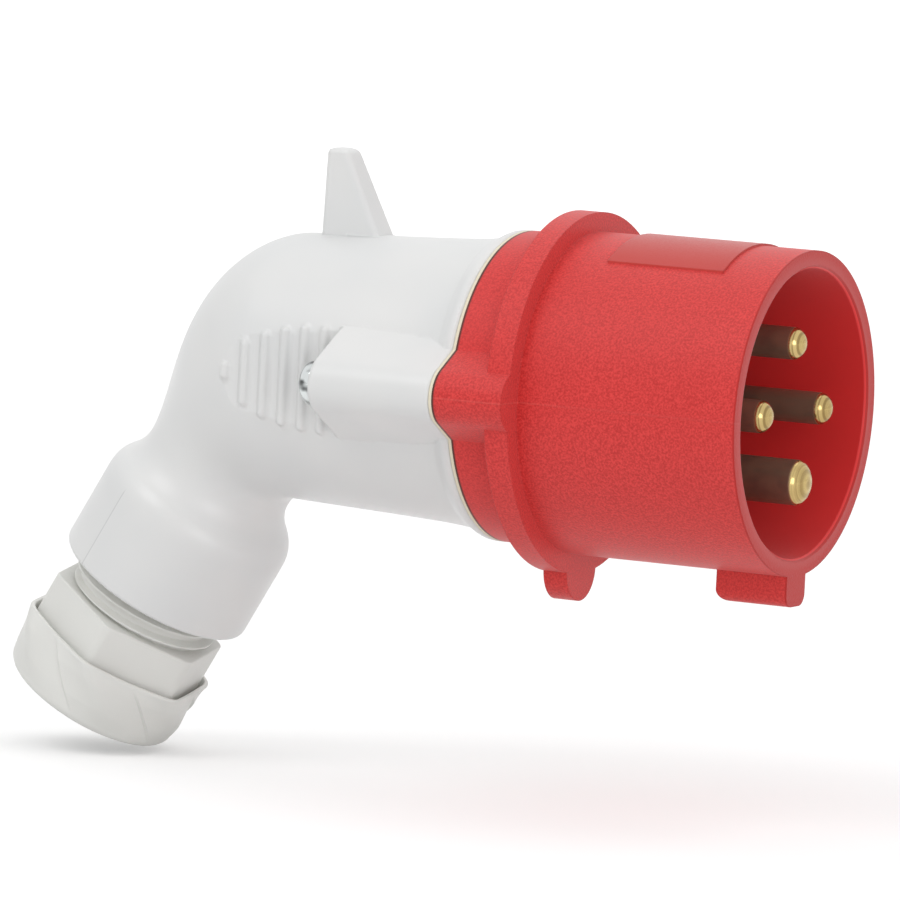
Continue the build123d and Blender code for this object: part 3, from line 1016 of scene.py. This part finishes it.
def add_world():
    """Soft light from a pale sky that is darker near the ground, and a plain white background."""
    world = bpy.data.worlds.new("studio")
    world.use_nodes = True
    tree = world.node_tree
    ambient = tree.nodes["Background"]
    place = tree.nodes.new("ShaderNodeTexCoord")
    split = tree.nodes.new("ShaderNodeSeparateXYZ")
    tree.links.new(place.outputs["Generated"], split.inputs[0])
    height = tree.nodes.new("ShaderNodeValToRGB")
    tree.links.new(split.outputs["Z"], height.inputs[0])
    low, high = height.color_ramp.elements
    low.position = sky_low_height
    low.color = sky_low_tone
    high.position = sky_high_height
    high.color = white
    tree.links.new(height.outputs[0], ambient.inputs["Color"])
    ambient.inputs["Strength"].default_value = sky_strength
    plain = tree.nodes.new("ShaderNodeBackground")
    plain.inputs["Color"].default_value = white
    plain.inputs["Strength"].default_value = 1.0
    choose = tree.nodes.new("ShaderNodeMixShader")
    tree.links.new(background_ray(tree), choose.inputs[0])
    tree.links.new(ambient.outputs[0], choose.inputs[1])
    tree.links.new(plain.outputs[0], choose.inputs[2])
    tree.links.new(choose.outputs[0], tree.nodes["World Output"].inputs["Surface"])
    bpy.context.scene.world = world


def add_floor():
    """Pale floor just under the plug, that shows white but keeps the plug's shadow."""
    level = cad_box[0][2] - floor_gap
    mesh = bpy.data.meshes.new("floor")
    corners = [(-1, -1), (1, -1), (1, 1), (-1, 1)]
    mesh.from_pydata([(a * floor_half, b * floor_half, level) for a, b in corners], [], [(0, 1, 2, 3)])
    made = bpy.data.objects.new("floor", mesh)
    bpy.context.scene.collection.objects.link(made)
    material = bpy.data.materials.new("floor_paint")
    material.use_nodes = True
    tree = material.node_tree
    shader = tree.nodes["Principled BSDF"]
    shader.inputs["Base Color"].default_value = floor_tone
    shader.inputs["Roughness"].default_value = floor_roughness
    shader.inputs["Specular IOR Level"].default_value = 0.0
    shader.inputs["Emission Color"].default_value = white
    place = tree.nodes.new("ShaderNodeTexCoord")
    distance = tree.nodes.new("ShaderNodeVectorMath")
    distance.operation = "LENGTH"
    tree.links.new(place.outputs["Object"], distance.inputs[0])
    farther = tree.nodes.new("ShaderNodeMapRange")
    farther.interpolation_type = "SMOOTHSTEP"
    for key, number in floor_glow.items():
        farther.inputs[key].default_value = number
    tree.links.new(distance.outputs["Value"], farther.inputs["Value"])
    glow = tree.nodes.new("ShaderNodeMath")
    glow.operation = "MULTIPLY"
    tree.links.new(farther.outputs[0], glow.inputs[1])
    tree.links.new(background_ray(tree), glow.inputs[0])
    tree.links.new(glow.outputs[0], shader.inputs["Emission Strength"])
    mesh.materials.append(material)


grey = grey_shell()
brass = pin_brass()
# The plated screws' dark patches are painted reflections.
chrome = bright_metal("bright_plated", plating, patch_and_reflection_darkness=0.36, smoothest=0.05, roughest=0.12, mark_scale=900)
dull_steel = bright_metal("plain_steel", steel, patch_and_reflection_darkness=0.9, smoothest=0.28, roughest=0.4, mark_scale=1500)
dress(handle(), "plug_body", "grey_shell", grey, "handle_shell")
dress(gland(), "gland", "gland_plastic", gland_plastic(), "gland_screw")
for pin in pins:
    dress(contact_pin(pin), "plug_body", "pin_brass", brass, pin)
    paint_node(pin.replace("pin", "terminal_screw"), dull_steel)
for node, side in (("housing_screw_left", 1), ("housing_screw_right", -1)):
    dress(housing_screw(node, side * screw_y), "plug_body", "screw_steel", chrome, node)
paint_node("front_shroud", red_shell())
paint_node("pin_carrier", matte("carrier_moulding", carrier_tones, scale=1200, roughness=0.5))
paint_node("flange_gasket", matte("gasket_rubber", gasket_tones, scale=1500, roughness=0.6))
paint_node("cable_grommet", matte("grommet_rubber", grommet_tones, scale=1500, roughness=0.7))
paint_node("thrust_ring", matte("ring_plastic", thrust_ring_tones, scale=1500, roughness=0.5))

add_camera()
add_world()
add_floor()
for name, settings in lamps.items():
    add_lamp(name, **settings)
bpy.context.scene.view_settings.view_transform = "Standard"
